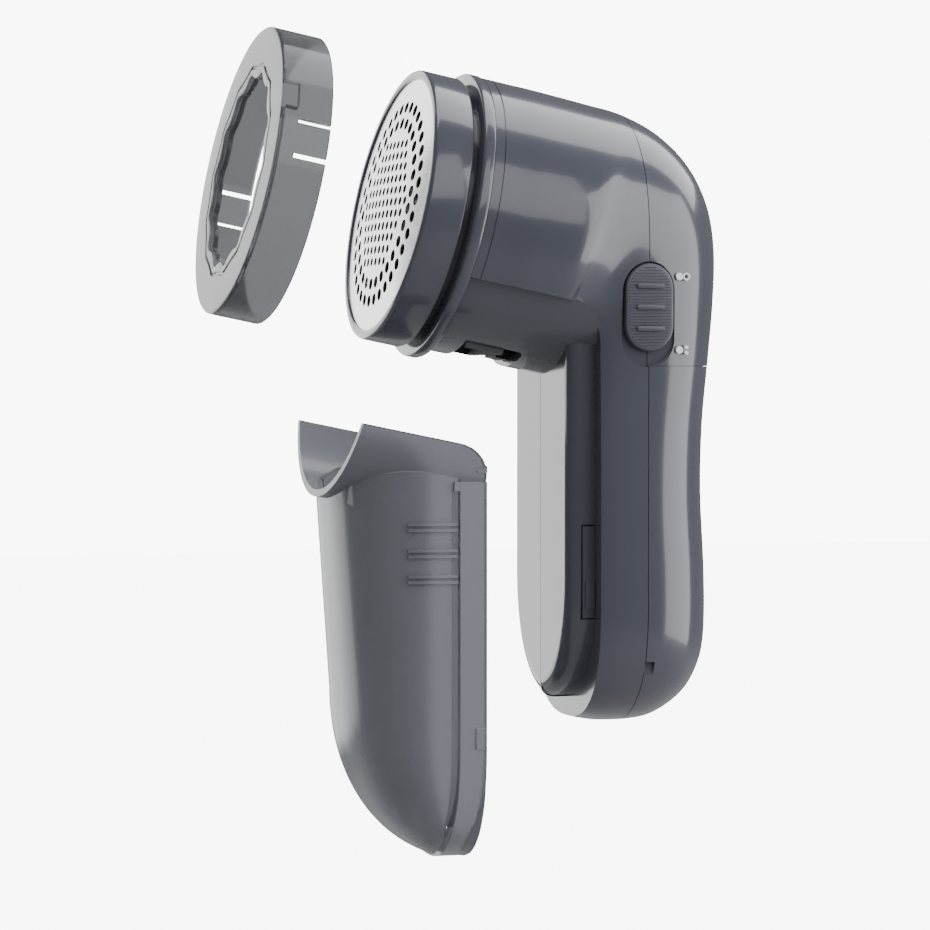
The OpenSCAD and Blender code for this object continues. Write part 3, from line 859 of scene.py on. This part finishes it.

# %% [markdown]
# Two slots on each side free a finger that can flex. Three blocks inside the plate stop the guard
# against the foil ring, so that the plate never touches the foil.

# %% Guard slots and stop tabs
for side in (0, pi):
    for angle in (-4.2, -18):
        slot_cut = block((28, -0.55, GUARD_LEN - 7.2), (34, 0.55, GUARD_LEN + 1))
        slot_cut = moved(slot_cut, Matrix.Rotation(side + radians(angle), 4, "Z"))
        combine(guard, to_object(slot_cut, "slot"), "DIFFERENCE")
stops = []
for angle in (90, 210, 330):
    stop = block((28.7, -3, 0.8), (30.7, 3, 4.1))
    round_edges(stop, stop.edges, 0.3)
    stops.append(moved(stop, Matrix.Rotation(radians(angle), 4, "Z")))
combine(guard, joined(stops, "stops"), "UNION")
tidy_mesh(guard)
keep_flats(guard)
guard.data.transform(HEAD @ Matrix.Translation((0, 0, -GUARD_BACK)))
finish_piece(guard, "guard", smoky, ["height_guard"], corner=36)

# %% [markdown]
# ## Lint container
# The container is the other half of the handle's form. A half-cylinder saddle on top hooks round
# the tube, a rim strip matches the grip, and in front of a small step the pod swells forward and
# runs down to a rounded tip.

# %% The pod's slices
POD_BACK = 34.0
POD_SQUARE = 0.7
POD_STEP = 1.2


def pod_front(z):
    if z > -76:
        return 10.8 - (z + 33) * 0.072
    return 13.9 + 27 * (1 - max(0.0, 1 - ((z + 76) / 37.4) ** 2) ** 0.5)


def pod_shape(z, inset):
    depth = max(POD_BACK - pod_front(z) - inset, 0.5)
    wide = max(half_w(z - 1) * 0.96 - POD_STEP - inset, 0.5)
    back_y = POD_BACK + (1.3 if inset else 0.6)

    def shape(angle):
        x = wide * signed_power(cos(angle), POD_SQUARE)
        y = POD_BACK - depth * signed_power(sin(angle), POD_SQUARE) if sin(angle) > 0 else back_y
        return Vector((x, y, z + inset * 0.6))
    return shape


def pod_solid(inset):
    low, high = -112.4, -20.0
    heights = [high + (low - high) * sin(pi / 2 * i / 60) for i in range(61)]
    return loft([pod_shape(z, inset) for z in heights], 128)


# %% [markdown]
# The solids are joined before they are hollowed, so that no wall is left standing between them.
# The tube's clearance cuts the saddle, and small clips stand on the rim's flanks.

# %% Build the container from rim strip, saddle and pod
SADDLE_START = 15.4
CONTAINER_WALL = 1.5
RIM_TRIM = 4.2


def front_limit(y0):
    return to_object(block((-90, y0, -200), (90, 90, 100)), "limit")


strip = to_object(body_form(), "container_shell")
combine(strip, to_object(front_slab(POD_BACK - 2, RIM_Y, 1.05, -30), "rim_band"), "UNION")
combine(strip, zone_after(SADDLE_START, 0.3), "INTERSECT")
combine(strip, front_limit(POD_BACK - 0.6), "INTERSECT")
saddle = to_object(in_head(rod(TUBE_R - 0.2, SADDLE_START, 56, 160)), "saddle")
combine(saddle, zone_after(SADDLE_START, 0.3), "INTERSECT")
combine(strip, saddle, "UNION")
combine(strip, to_object(pod_solid(0), "pod"), "UNION")
combine(strip, to_object(in_head(rod(SEAT_R + 0.35, 0, 80, 160)), "tube_clear"), "DIFFERENCE")
combine(strip, to_object(in_head(block((-90, -190, -1), (90, SEAT_DROP, 190))), "above"), "DIFFERENCE")
combine(strip, to_object(pod_solid(CONTAINER_WALL), "pod_inside"), "DIFFERENCE")
combine(strip, to_object(front_slab(POD_BACK + 1, RIM_Y + 2, RIM_TRIM, -20), "rim_inside"), "DIFFERENCE")
combine(strip, to_object(in_head(block((-12.7, 20, 19.3), (12.7, 31.6, 34))), "mouth"), "DIFFERENCE")
channel = to_object(front_slab(POD_BACK - 0.7, POD_BACK + 0.7, -1, -32), "channel")
combine(channel, to_object(front_slab(POD_BACK - 2, POD_BACK + 2, 2.7, -20), "core"), "DIFFERENCE")
combine(strip, channel, "DIFFERENCE")
for side in (-1, 1):
    for z, tall, near, far in ((-85, 2.4, 20.7, 23.9), (-27.4, 0.8, 23.0, 24.6)):
        x0, x1 = sorted((side * near, side * far))
        clip = block((x0, RIM_Y - 2.9, z - tall), (x1, RIM_Y - 0.5, z + tall))
        combine(strip, to_object(round_edges(clip, clip.edges, 0.3), "clip"), "UNION")
print("container", len(strip.data.polygons))

# %% [markdown]
# Three pairs of fine ribs on each flank give the fingers a hold when the container is pulled off.
# They start at the step and die out on the flank, which is why each one follows its curve.


# %% Grip ribs on both flanks
def flank(y, z):
    wide = half_w(z - 1) * 0.96 - POD_STEP
    part = min(1.0, ((POD_BACK - y) / (POD_BACK - pod_front(z))) ** (1 / POD_SQUARE))
    return wide * max(0.0, 1 - part * part) ** (POD_SQUARE / 2)


def grip_rib(z, side):
    steps = [POD_BACK + 0.5 - 1.1 * i for i in range(11)]
    outer = [(side * (flank(min(y, POD_BACK), z) + 0.75), y) for y in steps]
    inner = [(side * (flank(min(y, POD_BACK), z) - 0.6), y) for y in reversed(steps)]
    return prism(outer + inner, z - 0.32, z + 0.32)


ribs = [grip_rib(z + lift, side) for z in (-39.7, -45.3, -50.8) for lift in (-0.62, 0.62) for side in (-1, 1)]
combine(strip, joined(ribs, "grip_ribs"), "UNION")
tidy_mesh(strip)
soften(strip, 0.16)
print("with ribs", len(strip.data.polygons))

# %% [markdown]
# The container was built in its seat on the handle, where its surfaces are easy to match. Now it
# moves to where it hangs, and its joint carries it back.

# %% Hang it in its place
strip.data.transform(Matrix.Translation(HUNG))
finish_piece(strip, "container", smoky_deep, ["lint_container"], corner=34)

# %% [markdown]
# ## Finishes for the CAD pieces that stay
# The printed marks, the latch tabs and the parts inside keep their exact CAD shapes. Each only
# needs a fitting finish.

# %% Finish the kept nodes
KEPT = {
    "rotor_blades": plain_steel, "blade_hub": black_satin, "blade_spring": nickel,
    "drive_dog": natural_acetal, "motor_shaft": plain_steel, "motor_can": plain_steel,
    "motor_endcap": natural_acetal, "motor_terminals": brass, "motor_bracket": inner_grey,
    "motor_screws": nickel, "blade_chamber": inner_grey, "lint_duct": inner_grey,
    "switch_carriage": natural_acetal, "slide_switch": black_satin, "icon_marks": pad_print,
    "battery_tray": inner_grey, "battery_1": cell_sleeve, "battery_2": cell_sleeve, "contact_bridge": nickel,
    "contact_tabs": nickel, "contact_springs": nickel, "lead_positive": red_lead, "lead_motor": red_lead,
    "lead_negative": black_lead, "interlock_lever": black_satin, "interlock_spring": nickel,
    "micro_switch": black_satin, "housing_screws": plain_steel, "latch_tabs": body_gloss,
}
for name, material in KEPT.items():
    nodes[name].data.materials.clear()
    nodes[name].data.materials.append(material)
print("kept nodes:", len(KEPT))

# %% [markdown]
# ## Floor, light and air
# The parts float over a pale floor in a white cove. A long soft box above draws the bright band
# along the tube, a second one on the camera's side gives the broad sheen, and the white room
# fills the rest.


# %% Floor, soft boxes and world
def soft_box(name, place, aim, size, power):
    data = bpy.data.lights.new(name, "AREA")
    data.shape = "RECTANGLE"
    data.size, data.size_y = size
    data.energy = power
    lamp = bpy.data.objects.new(name, data)
    bpy.context.scene.collection.objects.link(lamp)
    lamp.location = place
    lamp.rotation_euler = (Vector(aim) - Vector(place)).to_track_quat("-Z", "Y").to_euler()
    return lamp


floor_mesh = bmesh.new()
bmesh.ops.create_grid(floor_mesh, x_segments=1, y_segments=1, size=6)
bmesh.ops.translate(floor_mesh, verts=floor_mesh.verts, vec=(0, 0, cad_box[0][2] - 0.25))
floor = to_object(floor_mesh, "floor")
pale = plastic("pale floor", (0.25, 0.25, 0.255), 0.8, ripple=0.0, vary=0.01)
floor.data.materials.append(pale)


def around(turn, lift, far):
    """A place on a sphere round the object: turn from the front, towards the switch side."""
    a, e = radians(turn), radians(lift)
    return (far * sin(a) * cos(e), 0.03 - far * cos(a) * cos(e), -0.04 + far * sin(e))


MIDDLE = (0, 0.03, -0.04)
soft_box("overhead box", around(200, 66, 0.9), MIDDLE, (0.62, 1.8), 13)
soft_box("switch side box", around(106, 24, 1.0), MIDDLE, (0.8, 0.62), 3.2)
soft_box("rear box", around(154, 4, 0.9), MIDDLE, (0.75, 0.85), 8)
soft_box("front left box", around(-62, 10, 0.9), MIDDLE, (0.9, 0.9), 6.5)


# %% [markdown]
# The world is white to the camera, dim to the pieces and in between through the clear parts, so
# that the background stays pale while the gloss keeps its dark bands.

# %% World
def glow(tree, levels):
    """Add up a brightness for each kind of ray."""
    paths = tree.nodes.new("ShaderNodeLightPath")
    total = None
    for ray, level_value in levels:
        part = tree.nodes.new("ShaderNodeMath")
        part.operation = "MULTIPLY_ADD"
        tree.links.new(paths.outputs[ray], part.inputs[0])
        part.inputs[1].default_value = level_value
        part.inputs[2].default_value = 0.0
        if total:
            tree.links.new(total.outputs[0], part.inputs[2])
        total = part
    return total.outputs[0]


world = bpy.data.worlds.new("white cove")
bpy.context.scene.world = world
world.use_nodes = True
tree = world.node_tree
tree.nodes["Background"].inputs["Color"].default_value = (1, 1, 1, 1)
tree.links.new(glow(tree, [("Is Camera Ray", 9.0), ("Is Transmission Ray", 2.0), ("Is Diffuse Ray", 0.85),
                           ("Is Glossy Ray", 0.16)]), tree.nodes["Background"].inputs["Strength"])
shader = pale.node_tree.nodes["Principled BSDF"]
shader.inputs["Emission Color"].default_value = (1, 1, 1, 1)
pale.node_tree.links.new(glow(pale.node_tree, [("Is Camera Ray", 8.0), ("Is Transmission Ray", 1.6)]),
                         shader.inputs["Emission Strength"])
